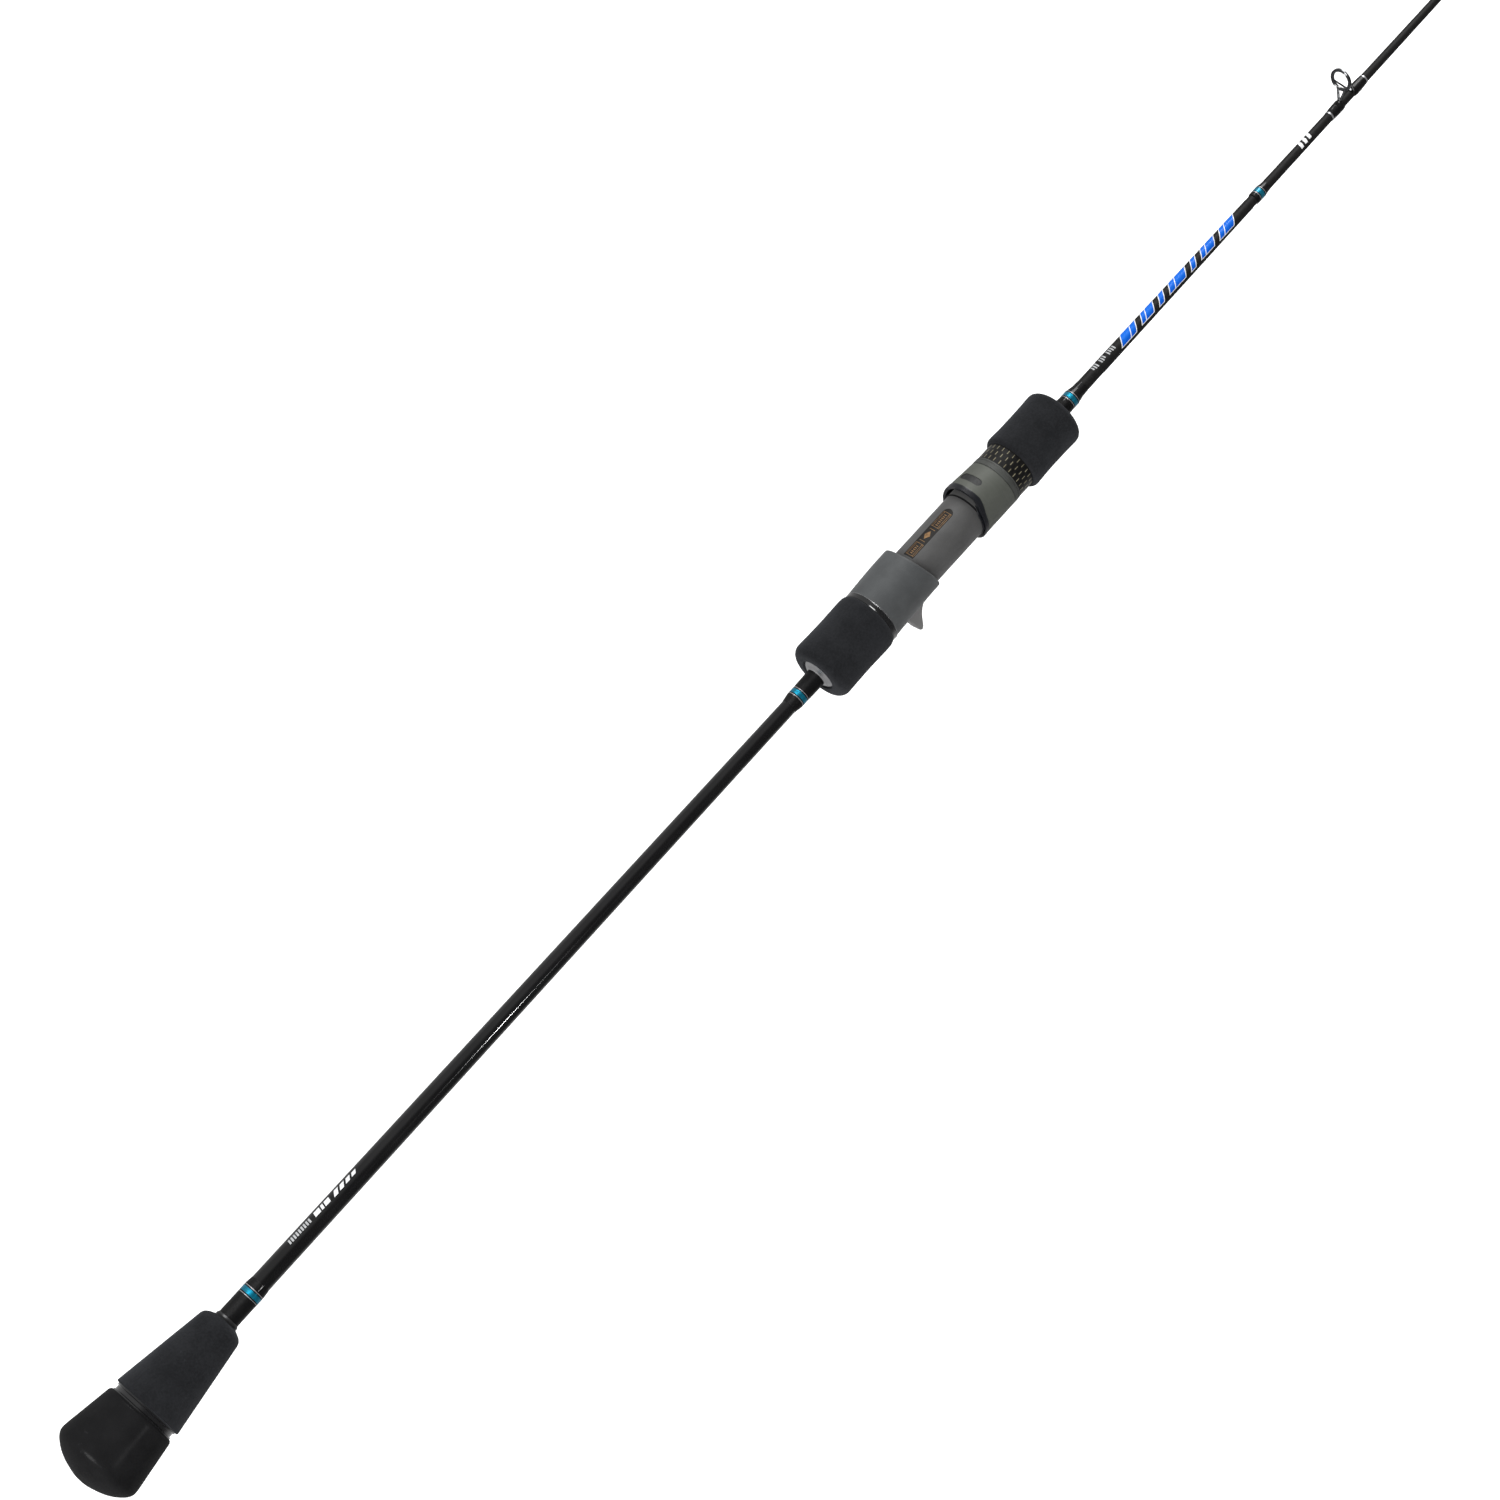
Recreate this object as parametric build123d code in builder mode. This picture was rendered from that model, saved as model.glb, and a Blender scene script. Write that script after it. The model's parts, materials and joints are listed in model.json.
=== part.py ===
from build123d import *
import os
from math import cos, radians, sin

# Jigging rod with a trigger reel seat, in millimetres.
# The rod's axis is X: butt end at the origin, tip towards +X. Guides and reel are on +Z, trigger on -Z.

# Blank: (x, radius) stations of the two sections
BUTT_BLANK = [(8, 5.26), (116, 4.975), (480, 4.025), (718, 3.375), (760, 3.2), (855.8, 2.8)]
TIP_BLANK = [(856, 2.79), (913, 2.61), (957, 2.435), (1000, 2.3), (1851, 0.78)]
GLUE = 0.03  # radial gap of a part glued on the blank

# Spigot ferrule between the two sections
SPIGOT_R = 1.9
SPIGOT_START = 815
SPIGOT_END = 906
SOCKET_CLEARANCE = 0.05
SOCKET_END = 912

# Butt
CAP_LENGTH = 38.5
CAP_R = 22.0
CONE_START = 42.2
CONE_END = 92.6
BUTT_CHECK_END = 94.6

# Rear grip
REAR_GRIP_START = 506.6
REAR_GRIP_END = 545.4
CHECK_R = 9.25

# Reel seat
SEAT_START = 548.3
SEAT_BORE = 8.2
BARREL_R = 12.325
BARREL_END = 638.6
POCKET_START = 567
POCKET_RISE = 3.1
HOOD_ROUND = 1.2
THREAD_R = 10.0
THREAD_ROOT = 9.35
THREAD_PITCH = 2.0
THREAD_TURNS = 18
THREAD_END = 676
KEYWAY_W = 3.0
LABEL_FLOOR = 11.45
LABEL_TURN = 6.5  # degrees from the top, towards -Y
RUN = 0.05  # radial clearance of a running fit

# Sliding hood and its nut
HOOD_RIM = [(625.4, 25), (625.4, 12.1), (623.0, 5.6), (621.4, -4), (620.3, -9), (619.8, -25)]  # (x, z)
BEAD_RIM = [(622.6, 25), (622.6, 12.1), (620.7, 5.6), (619.4, -4), (618.5, -9), (618.0, -25)]
RING_RIM = [(620.8, 25), (620.8, 12.1), (619.6, 5.6), (618.6, -4), (617.9, -9), (617.4, -25)]
HOOD_END = 641.8
HOOD_WALL = 0.7
WINDOW_X = 631.4
WINDOW_LENGTH = 13.2
WINDOW_WIDTH = 4.2
NUT_START = 642.1
NUT_CORE_R = 12.0
COLLAR_END = 645.9
SLEEVE_END = 656.2
FORE_GRIP_END = 693

# Guides: x of the ring's centre, bore radius, height of the centre over the rod's axis
GUIDES = [
    (935.7, 4.75, 12.95),
    (1082, 3.9, 10.6),
    (1208, 3.2, 9.3),
    (1328, 2.75, 8.4),
    (1443, 2.5, 7.7),
    (1553, 2.25, 7.2),
    (1658, 2.25, 6.9),
    (1758, 2.1, 6.6),
]
GUIDE_LEAN = 13
TIP_TOP = (1856.5, 2.1, 5.2)


def radius_at(stations, x):
    """Radius of a blank at x, by straight lines between its stations."""
    for (xa, ra), (xb, rb) in zip(stations, stations[1:]):
        if x <= xb:
            return ra + (rb - ra) * (x - xa) / (xb - xa)
    return stations[-1][1]


def outline(points):
    """Closed (x, radius) outline on the XZ plane, to be revolved about the rod's axis."""
    with BuildSketch(Plane.XZ) as face:
        with BuildLine():
            Polyline(*points, close=True)
        make_face()
    return face.sketch


def bore(stations, x_start, x_end):
    """Inner edge, from x_end back to x_start, of a part glued on a blank."""
    between = [x for x, r in stations if x_start < x < x_end]
    return [(x, radius_at(stations, x) + GLUE) for x in [x_end, *reversed(between), x_start]]


def sleeve(outer, stations=BUTT_BLANK):
    """Outline of a sleeve on a blank, from its outer (x, radius) points."""
    return outline(outer + bore(stations, outer[0][0], outer[-1][0]))


def band(x_start, x_end, r, stations=BUTT_BLANK):
    """Outline of a plain ring on a blank."""
    return sleeve([(x_start, r), (x_end, r)], stations)


def save(part, name):
    part.label = name
    export_step(part, f"parts/{name}.step")


os.makedirs("parts", exist_ok=True)

# ---------------------------------------------------------------- blank and ferrule

with BuildPart() as blank_butt:
    wall = [(SPIGOT_START, SPIGOT_R), (8, 4.1)]
    revolve(outline(BUTT_BLANK + [(855.8, SPIGOT_R)] + wall), axis=Axis.X)
save(blank_butt.part, "blank_butt")

with BuildPart() as ferrule_spigot:
    spigot = [
        (SPIGOT_START, 0),
        (SPIGOT_START, SPIGOT_R),
        (SPIGOT_END - 1, SPIGOT_R),
        (SPIGOT_END, SPIGOT_R - 0.6),
        (SPIGOT_END, 0),
    ]
    revolve(outline(spigot), axis=Axis.X)
save(ferrule_spigot.part, "ferrule_spigot")

with BuildPart() as blank_tip:
    socket_r = SPIGOT_R + SOCKET_CLEARANCE
    hollow = [(1700, 0), (1700, 0.45), (SOCKET_END, 1.6), (SOCKET_END, socket_r), (856, socket_r)]
    revolve(outline(TIP_BLANK + [(1851, 0)] + hollow), axis=Axis.X)
save(blank_tip.part, "blank_tip")

# ---------------------------------------------------------------- butt

with BuildPart() as butt_cap:
    with BuildSketch(Plane.XZ):
        with BuildLine():
            Spline(
                (0, 0), (0.8, 6.1), (2.4, 11.5), (4.7, 16.1), (7.6, 19.8), (9.9, 21.55), (12, CAP_R),
                tangents=[(0, 1), (1, 0)],
            )
            Spline((12, CAP_R), (14, 21.85), (15, 21.72), tangents=[(1, 0), (1, -0.15)])
            Line((15, 21.72), (36.8, 18.45))
            Spline((36.8, 18.45), (38.1, 17.95), (CAP_LENGTH, 17.2), tangents=[(1, -0.15), (0, -1)])
            seat = bore(BUTT_BLANK, 8, CAP_LENGTH)
            Polyline((CAP_LENGTH, 17.2), *seat, (8, 0), (0, 0))
        make_face()
    revolve(axis=Axis.X)
save(butt_cap.part, "butt_cap")

with BuildPart() as butt_ring:
    groove = [
        (CAP_LENGTH, 16.9),
        (39.1, 16.9),
        (39.5, 16.3),
        (41.2, 16.3),
        (41.6, 16.9),
        (CONE_START, 16.9),
    ]
    revolve(sleeve(groove), axis=Axis.X)
save(butt_ring.part, "butt_ring")

with BuildPart() as butt_cone:
    with BuildSketch(Plane.XZ):
        with BuildLine():
            Polyline((CONE_START, 17.5), (CONE_START + 0.7, 18.2), (88.6, 11.35))
            Spline(
                (88.6, 11.35), (90.5, 10.1), (91.8, 8.0), (CONE_END, 6.2),
                tangents=[(0.989, -0.151), (0.3, -1)],
            )
            Polyline(
                (CONE_END, 6.2),
                *bore(BUTT_BLANK, CONE_START, CONE_END),
                (CONE_START, 17.5),
            )
        make_face()
    revolve(axis=Axis.X)
save(butt_cone.part, "butt_cone")

with BuildPart() as butt_check:
    check = [(CONE_END, 6.05), (93.6, 6.05), (94.2, 5.75), (BUTT_CHECK_END, 5.5)]
    revolve(sleeve(check), axis=Axis.X)
save(butt_check.part, "butt_check")

# ---------------------------------------------------------------- thread wraps
# Each wrap is a black thread sleeve with a coloured metallic band between two silver lines.

BAND_WIDTH = 2.5
LINE_WIDTH = 0.35
LINE_GAP = 0.57
INLAY = 0.2  # depth of the band and the lines in the thread
PROUD = 0.05  # and their height over it


def inlays(x):
    """Starts and ends of the line, the band and the other line, centred on x."""
    half = BAND_WIDTH / 2
    far = half + LINE_GAP + LINE_WIDTH
    return [(x - far, x - far + LINE_WIDTH), (x - half, x + half), (x + far - LINE_WIDTH, x + far)]


def grooved(x, r):
    """Outer edge of a wrap of radius r with the seats of its band and lines."""
    edge = []
    for start, end in inlays(x):
        low = r - INLAY - 0.02
        edge += [(start - 0.01, r), (start - 0.01, low), (end + 0.01, low), (end + 0.01, r)]
    return edge


def inlay(start, end, r):
    """Outline of a band or line seated in a wrap of radius r."""
    return outline([(start, r + PROUD), (end, r + PROUD), (end, r - INLAY), (start, r - INLAY)])


# Name: blank, x of the band, radius there, outer points behind it and in front of it
WRAPS = {
    "butt_wrap": (
        BUTT_BLANK, 109.1, 5.42,
        [(BUTT_CHECK_END, 5.42)],
        [(111.8, 5.42), (113.4, 5.25), (115.4, 5.03)],
    ),
    "rear_wrap": (
        BUTT_BLANK, 492, 4.78,
        [(485, 4.07), (487, 4.4), (489.2, 4.78)],
        [(495, 4.85), (502.5, 5.02), (505.2, 5.1)],
    ),
    "front_wrap": (
        BUTT_BLANK, 703.5, 4.5,
        [(688, 4.6), (699.4, 4.6), (701, 4.5)],
        [(706, 4.35), (707.6, 4.05), (710, 3.65), (714, 3.46)],
    ),
    "mid_wrap": (
        TIP_BLANK, 860.3, 3.32,
        [(856, 3.2), (856.5, 3.32)],
        [(862.9, 3.3), (863.8, 3.1), (865, 2.86), (866.5, 2.79)],
    ),
}

for name, (stations, x, r, behind, ahead) in WRAPS.items():
    with BuildPart() as wrap:
        revolve(sleeve(behind + grooved(x, r) + ahead, stations), axis=Axis.X)
    save(wrap.part, name)

    rear_line, middle, front_line = inlays(x)
    with BuildPart() as wrap_band:
        revolve(inlay(*middle, r), axis=Axis.X)
    save(wrap_band.part, f"{name}_band")

    with BuildPart() as wrap_lines:
        for span in (rear_line, front_line):
            revolve(inlay(*span, r), axis=Axis.X)
    save(wrap_lines.part, f"{name}_lines")

# ---------------------------------------------------------------- rear grip

with BuildPart() as rear_check:
    cone = [(505.2, 5.45), (505.6, 5.9), (507.6, CHECK_R), (509.6, CHECK_R)]
    revolve(sleeve(cone), axis=Axis.X)
save(rear_check.part, "rear_check")

with BuildPart() as rear_grip:
    with BuildSketch(Plane.XZ):
        with BuildLine():
            Polyline((REAR_GRIP_START, CHECK_R + 0.05), (REAR_GRIP_START, 12.4))
            Spline(
                (REAR_GRIP_START, 12.4), (507, 14.0), (508.7, 15.9), (510.6, 16.8),
                tangents=[(0, 1), (1, 0.1)],
            )
            Spline(
                (510.6, 16.8), (527, 16.5), (540.5, 16.75), (543.8, 16.5), (REAR_GRIP_END, 15.75),
                tangents=[(1, 0.1), (1, -1)],
            )
            Polyline(
                (REAR_GRIP_END, 15.75),
                *bore(BUTT_BLANK, 509.65, REAR_GRIP_END),
                (509.65, CHECK_R + 0.05),
                (REAR_GRIP_START, CHECK_R + 0.05),
            )
        make_face()
    revolve(axis=Axis.X)
save(rear_grip.part, "rear_grip")

with BuildPart() as rear_trim_ring:
    rise, fall = REAR_GRIP_END + 0.5, SEAT_START - 0.5
    trim = [(REAR_GRIP_END, 15.4), (rise, 15.75), (fall, 15.75), (SEAT_START, 15.4)]
    revolve(sleeve(trim), axis=Axis.X)
save(rear_trim_ring.part, "rear_trim_ring")

# ---------------------------------------------------------------- reel seat


def raised_section(x, r_low, r_high, rise):
    """Hull of a circle on the rod's axis and one raised over it, at x."""
    with BuildSketch(Plane.YZ.offset(x)) as section:
        Circle(r_low)
        with Locations((0, rise)):
            Circle(r_high)
        make_hull()
    return section.sketch


turned = radians(LABEL_TURN)
label_plane = Plane(origin=(0, 0, 0), x_dir=(1, 0, 0), z_dir=(0, -sin(turned), cos(turned))).offset(LABEL_FLOOR)

thread = [(BARREL_END, THREAD_ROOT)]
for turn in range(THREAD_TURNS):
    crest = BARREL_END + 1 + turn * THREAD_PITCH
    thread += [
        (crest, THREAD_ROOT),
        (crest + 0.5, THREAD_R),
        (crest + 0.9, THREAD_R),
        (crest + 1.4, THREAD_ROOT),
    ]

with BuildPart() as trigger:
    with BuildSketch(Plane.XZ):
        with BuildLine():
            Polyline((585.2, -13.2), (585.2, -11), (562.1, -11), (562.7, -15))
            Spline(
                (562.7, -15), (563.8, -20), (565.3, -25.5), (566.6, -29.5),
                tangents=[(0.2, -1), (0.25, -1)],
            )
            Spline((566.6, -29.5), (568.6, -32), (570.4, -30), tangents=[(0.25, -1), (0.3, 1)])
            Spline(
                (570.4, -30), (571.3, -27), (572.6, -23.3), (575.3, -19.4), (580.7, -15.6), (585.2, -13.2),
                tangents=[(0.3, 1), (1, 0.4)],
            )
        make_face()
    extrude(amount=3.6, both=True)
    side_edges = edges().filter_by(lambda e: abs(abs(e.center().Y) - 3.6) < 0.01 and e.center().Z < -12.5)
    fillet(side_edges, 1.0)

with BuildPart() as seat_body:
    # Rear collar, swelling upwards over the fixed hood
    for x, r, rise in [(SEAT_START, 15.6, 0.3), (557, 15.65, 1.0), (567, 15.6, 1.65), (590, 15.1, 1.5)]:
        with BuildSketch(Plane.YZ.offset(x)):
            with Locations((0, rise)):
                Circle(r)
    loft()
    # Slanted front face of the fixed hood, rounded over its edge
    with BuildSketch(Plane.XZ):
        with BuildLine():
            Polyline((575.3, 20), (587.8, -20), (600, -20), (600, 20), close=True)
        make_face()
    extrude(amount=30, both=True, mode=Mode.SUBTRACT)
    front_face = faces().sort_by(Axis.X)[-1]
    fillet(front_face.edges(), HOOD_ROUND)
    # Pocket for the reel foot
    extrude(raised_section(POCKET_START, 12.0, 11.6, POCKET_RISE), amount=30, mode=Mode.SUBTRACT)
    revolve(outline([(SEAT_START, 0), (SEAT_START, 11), (557, BARREL_R), (BARREL_END - 0.6, BARREL_R),
                     (BARREL_END, BARREL_R - 0.6), (BARREL_END, 0)]), axis=Axis.X)
    revolve(outline([*thread, (THREAD_END, THREAD_ROOT), (THREAD_END, 0), (BARREL_END, 0)]), axis=Axis.X)
    add(trigger.part)
    # Bore for the arbors, keyway in the thread, recess for the label
    with BuildSketch(Plane.YZ.offset(SEAT_START)):
        Circle(SEAT_BORE)
    extrude(amount=THREAD_END - SEAT_START + 5, mode=Mode.SUBTRACT)
    with Locations(((BARREL_END + THREAD_END + 1) / 2, 0, -10.3)):
        Box(THREAD_END - BARREL_END + 1, KEYWAY_W, 3, mode=Mode.SUBTRACT)
    with BuildSketch(label_plane) as label_outline:
        with BuildLine():
            Polyline((610, 3), (579.7, 3), (579.7, -3), (610, -3))
            ThreePointArc((610, -3), (613, 0), (610, 3))
        make_face()
    extrude(amount=2, mode=Mode.SUBTRACT)
save(seat_body.part, "seat_body")

with BuildPart() as seat_label:
    with BuildSketch(label_plane):
        add(label_outline.sketch_local)
        offset(amount=-0.04, mode=Mode.REPLACE)
    extrude(amount=2)
    with BuildSketch(Plane.YZ.offset(575)):
        Circle(BARREL_R - 0.05)
    extrude(amount=45, mode=Mode.INTERSECT)
save(seat_label.part, "seat_label")

with BuildPart() as seat_arbor_rear:
    revolve(band(549.5, 598, SEAT_BORE - GLUE), axis=Axis.X)
save(seat_arbor_rear.part, "seat_arbor_rear")

with BuildPart() as seat_arbor_front:
    revolve(band(604, 674, SEAT_BORE - GLUE), axis=Axis.X)
save(seat_arbor_front.part, "seat_arbor_front")

# ---------------------------------------------------------------- sliding hood


def hood_form(shrink):
    """Solid form of the hood, from its raised rim to its round front end, shrunk by a wall."""
    with BuildPart() as form:
        for x, r_low, r_high, rise in [(608, 14.25, 13.75, 3.2), (625, 14.25, 13.7, 2.9), (HOOD_END, 14.3, 14.3, 0.05)]:
            with BuildSketch(Plane.YZ.offset(x)):
                Circle(r_low - shrink)
                with Locations((0, rise)):
                    Circle(r_high - shrink)
                make_hull()
        loft(ruled=True)
    return form.part


def behind(rim):
    """Outline of all that lies behind a rim."""
    return outline([(600, 25), *rim, (600, -25)])


hood_outer = hood_form(0)
hood_inner = hood_form(HOOD_WALL)

with BuildPart() as hood_shell:
    add(hood_outer)
    add(hood_inner, mode=Mode.SUBTRACT)
    extrude(behind(HOOD_RIM), amount=30, both=True, mode=Mode.SUBTRACT)
    # Window on the reel side
    with BuildSketch(Plane.XY.offset(8)):
        with Locations((WINDOW_X, 0)):
            SlotOverall(WINDOW_LENGTH, WINDOW_WIDTH, rotation=90)
    extrude(amount=12, mode=Mode.SUBTRACT)
save(hood_shell.part, "hood_shell")

bead_r = BARREL_R + 1.15
ring_r = BARREL_R + 0.75

with BuildPart() as liner_bead:
    add(hood_form(-0.12))
    extrude(behind(BEAD_RIM), amount=30, both=True, mode=Mode.SUBTRACT)
    with BuildSketch(Plane.XZ):
        with BuildLine():
            rim = [(x - 0.03, z) for x, z in HOOD_RIM]
            Polyline(*rim, (HOOD_END + 5, -25), (HOOD_END + 5, 25), close=True)
        make_face()
    extrude(amount=30, both=True, mode=Mode.SUBTRACT)

with BuildPart() as hood_liner:
    add(hood_form(HOOD_WALL + 0.02))
    add(liner_bead.part)
    extrude(behind(BEAD_RIM), amount=30, both=True, mode=Mode.SUBTRACT)
    # Inner ring along the barrel, parted from the bead by a groove
    revolve(outline([(610, 0), (610, ring_r), (624, ring_r), (624, 0)]), axis=Axis.X)
    groove = [(600, ring_r), (600, bead_r), (622.6, bead_r), (622.6, ring_r)]
    revolve(outline(groove), axis=Axis.X, mode=Mode.SUBTRACT)
    with BuildSketch(Plane.YZ.offset(600)):
        Circle(BARREL_R + RUN)
    extrude(amount=BARREL_END + 0.5 - 600, mode=Mode.SUBTRACT)
    with BuildSketch(Plane.YZ.offset(600)):
        Circle(THREAD_R + 0.15)
    extrude(amount=60, mode=Mode.SUBTRACT)
    extrude(raised_section(600, 12.1, 12.1, POCKET_RISE), amount=634.5 - 600, mode=Mode.SUBTRACT)
    extrude(behind(RING_RIM), amount=30, both=True, mode=Mode.SUBTRACT)
    # Key that runs in the thread's keyway and keeps the hood from turning
    with Locations(((BARREL_END + 0.6 + HOOD_END) / 2, 0, -10.0)):
        Box(HOOD_END - BARREL_END - 0.6, KEYWAY_W - 0.2, 1.6)
save(hood_liner.part, "hood_liner")

with BuildPart() as hood_window:
    with BuildSketch(Plane.XY.offset(8)):
        with Locations((WINDOW_X, 0)):
            SlotOverall(WINDOW_LENGTH - 0.1, WINDOW_WIDTH - 0.1, rotation=90)
    extrude(amount=12)
    add(hood_form(0.25), mode=Mode.INTERSECT)
    add(hood_inner, mode=Mode.SUBTRACT)
save(hood_window.part, "hood_window")

# ---------------------------------------------------------------- lock nut and fore grip

with BuildPart() as nut_core:
    tube = [
        (NUT_START + 0.2, THREAD_R + RUN),
        (NUT_START + 0.2, NUT_CORE_R),
        (689, NUT_CORE_R),
        (689, THREAD_R + RUN),
    ]
    revolve(outline(tube), axis=Axis.X)
save(nut_core.part, "nut_core")

with BuildPart() as nut_collar:
    ring = [
        (NUT_START, NUT_CORE_R + GLUE),
        (NUT_START, 13.9),
        (NUT_START + 0.4, 14.3),
        (COLLAR_END - 1.3, 14.3),
        (COLLAR_END - 1.0, 13.95),
        (COLLAR_END - 0.7, 14.2),
        (COLLAR_END, 14.2),
        (COLLAR_END, NUT_CORE_R + GLUE),
    ]
    revolve(outline(ring), axis=Axis.X)
save(nut_collar.part, "nut_collar")

with BuildPart() as carbon_sleeve:
    tube = [
        (COLLAR_END + 0.05, NUT_CORE_R + GLUE),
        (COLLAR_END + 0.05, 14.05),
        (SLEEVE_END, 14.05),
        (SLEEVE_END, NUT_CORE_R + GLUE),
    ]
    revolve(outline(tube), axis=Axis.X)
save(carbon_sleeve.part, "carbon_sleeve")

with BuildPart() as fore_grip:
    with BuildSketch(Plane.XZ):
        with BuildLine():
            start = SLEEVE_END + 0.1
            Polyline((start, NUT_CORE_R + GLUE), (start, 14.3))
            Spline(
                (start, 14.3), (start + 0.4, 15.4), (start + 1.1, 16.15), (start + 2.2, 16.45),
                tangents=[(0, 1), (1, 0)],
            )
            Spline((start + 2.2, 16.45), (675, 16.05), (689.6, 16.35), tangents=[(1, 0), (1, 0)])
            Spline(
                (689.6, 16.35), (691.4, 15.65), (692.4, 14.3), (FORE_GRIP_END, 12.6),
                tangents=[(1, 0), (0.1, -1)],
            )
            Polyline(
                (FORE_GRIP_END, 12.6),
                (FORE_GRIP_END, NUT_CORE_R + GLUE),
                (start, NUT_CORE_R + GLUE),
            )
        make_face()
    revolve(axis=Axis.X)
save(fore_grip.part, "fore_grip")

with BuildPart() as fore_check:
    plate = [(689.1, 5.1), (689.1, NUT_CORE_R), (692.2, NUT_CORE_R), (692.6, 11.4), (692.6, 5.1)]
    revolve(outline(plate), axis=Axis.X)
save(fore_check.part, "fore_check")

# ---------------------------------------------------------------- decal film on the blank

with BuildPart() as decal_film:
    film = [(x, radius_at(BUTT_BLANK, x) + 0.13) for x in (728, 760, 852)]
    revolve(sleeve(film), axis=Axis.X)
save(decal_film.part, "decal_film")

# ---------------------------------------------------------------- guides


def strut(start, end, width, thickness):
    """Flat bar with rounded edges from start to end."""
    run = Vector(*end) - Vector(*start)
    with BuildPart() as bar:
        with BuildSketch(Plane(origin=start, x_dir=(0, 1, 0.001), z_dir=run)):
            SlotOverall(width, thickness)
        extrude(amount=run.length)
    return bar.part


def ring_profile(plane, r_in, r_out, length, edge):
    """Half section of a ring with bevelled edges on a plane through its axis."""
    half = length / 2
    with BuildSketch(plane) as section:
        with BuildLine():
            Polyline(
                (-half, r_in + edge), (-half, r_out - edge), (-half + edge, r_out), (half - edge, r_out),
                (half, r_out - edge), (half, r_in + edge), (half - edge, r_in), (-half + edge, r_in),
                close=True,
            )
        make_face()
    return section.sketch


wrap_faces = []
band_faces = []
for number, (x, r, height) in enumerate(GUIDES, start=1):
    scale = 0.55 + 0.45 * r / GUIDES[0][1]
    lean = radians(GUIDE_LEAN)
    along = (cos(lean), 0, -sin(lean))
    ring_plane = Plane(origin=(x, 0, height), x_dir=along, z_dir=(0, -1, 0))
    ring_axis = Axis((x, 0, height), along)
    r_ring = r + 0.95 * scale
    r_rim = r_ring + 0.75 * scale

    with BuildPart() as guide_ring:
        revolve(ring_profile(ring_plane, r, r_ring, 1.7 * scale, 0.38 * scale), axis=ring_axis)
    save(guide_ring.part, f"guide_{number}_ring")

    blank_r = radius_at(TIP_BLANK, x)
    foot_top = blank_r + 0.4 * scale
    rear_heel = x - 4.6 * scale
    front_heel = x + 4.6 * scale
    heel_y = min(1.9 * scale, 0.8 * blank_r)
    heel_z = ((blank_r + 0.2 * scale) ** 2 - heel_y**2) ** 0.5
    r_leg = (r_ring + r_rim) / 2
    bottom = Vector(x - r_leg * sin(lean), 0, height - r_leg * cos(lean))
    with BuildPart() as guide_frame:
        revolve(ring_profile(ring_plane, r_ring + 0.01, r_rim, 1.4 * scale, 0.25 * scale), axis=ring_axis)
        for hand in (-1, 1):
            rear_leg = strut(
                (rear_heel, hand * 0.6 * scale, foot_top - 0.25),
                (bottom.X, hand * 2.3 * scale, bottom.Z + 0.55 * scale),
                1.5 * scale, 0.8 * scale,
            )
            add(rear_leg)
            front_leg = strut(
                (front_heel, hand * heel_y, heel_z),
                (x - 0.3, hand * r_leg, height - 0.9 * scale),
                1.5 * scale, 0.8 * scale,
            )
            add(front_leg)
        # Saddle that joins the front legs over the blank
        with BuildSketch(Plane.YZ.offset(front_heel - scale)):
            Circle(foot_top + 0.12 * scale)
            with Locations((0, heel_z - 0.45 * scale + foot_top)):
                Rectangle(2 * heel_y + scale, 2 * foot_top, mode=Mode.INTERSECT)
        extrude(amount=1.55 * scale)
        # Feet, ground to a ramp on top and curved to the blank underneath
        for toe, heel in (
            (rear_heel - 8.4 * scale, rear_heel + 0.7 * scale),
            (front_heel + 9.0 * scale, front_heel - 0.7 * scale),
        ):
            with BuildSketch(Plane.XZ):
                with BuildLine():
                    Polyline(
                        (toe, blank_r - 0.6), (toe, blank_r + 0.12), (heel, foot_top), (heel, blank_r - 0.6),
                        close=True,
                    )
                make_face()
            extrude(amount=scale, both=True)
        under = [
            (x - 30, 0),
            (x - 30, radius_at(TIP_BLANK, x - 30) + GLUE),
            (x + 30, radius_at(TIP_BLANK, x + 30) + GLUE),
            (x + 30, 0),
        ]
        revolve(outline(under), axis=Axis.X, mode=Mode.SUBTRACT)
        seat_of_ring = ring_profile(ring_plane, 0, r_ring + 0.01, 2.4 * scale, 0.2)
        revolve(seat_of_ring, axis=ring_axis, mode=Mode.SUBTRACT)
    save(guide_frame.part, f"guide_{number}_frame")

    # One wrap over each foot: low at its outer end, full over the foot, and a short step at the heel
    rear_start = rear_heel - 9.3 * scale
    front_end = front_heel + 10.0 * scale
    for start, end, reach in (
        (rear_start, rear_heel + 0.3 * scale, (0.2, 0.38, 0.52, 0.55, 0.3)),
        (front_heel + 0.6 * scale, front_end, (0.3, 0.55, 0.52, 0.38, 0.2)),
    ):
        shares = (0, 0.2, 0.5, 0.85, 1) if start == rear_start else (0, 0.15, 0.5, 0.8, 1)
        stations = [start + (end - start) * share for share in shares]
        wrap_faces.append(
            sleeve([(q, radius_at(TIP_BLANK, q) + h * scale) for q, h in zip(stations, reach)], TIP_BLANK)
        )
    for start in (rear_start - 0.95, front_end + 0.05):
        band_faces.append(band(start, start + 0.9, radius_at(TIP_BLANK, start) + 0.26, TIP_BLANK))

with BuildPart() as guide_wraps:
    for face in wrap_faces:
        revolve(face, axis=Axis.X)
save(guide_wraps.part, "guide_wraps")

with BuildPart() as guide_bands:
    for face in band_faces:
        revolve(face, axis=Axis.X)
save(guide_bands.part, "guide_bands")

# ---------------------------------------------------------------- tip-top

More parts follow.
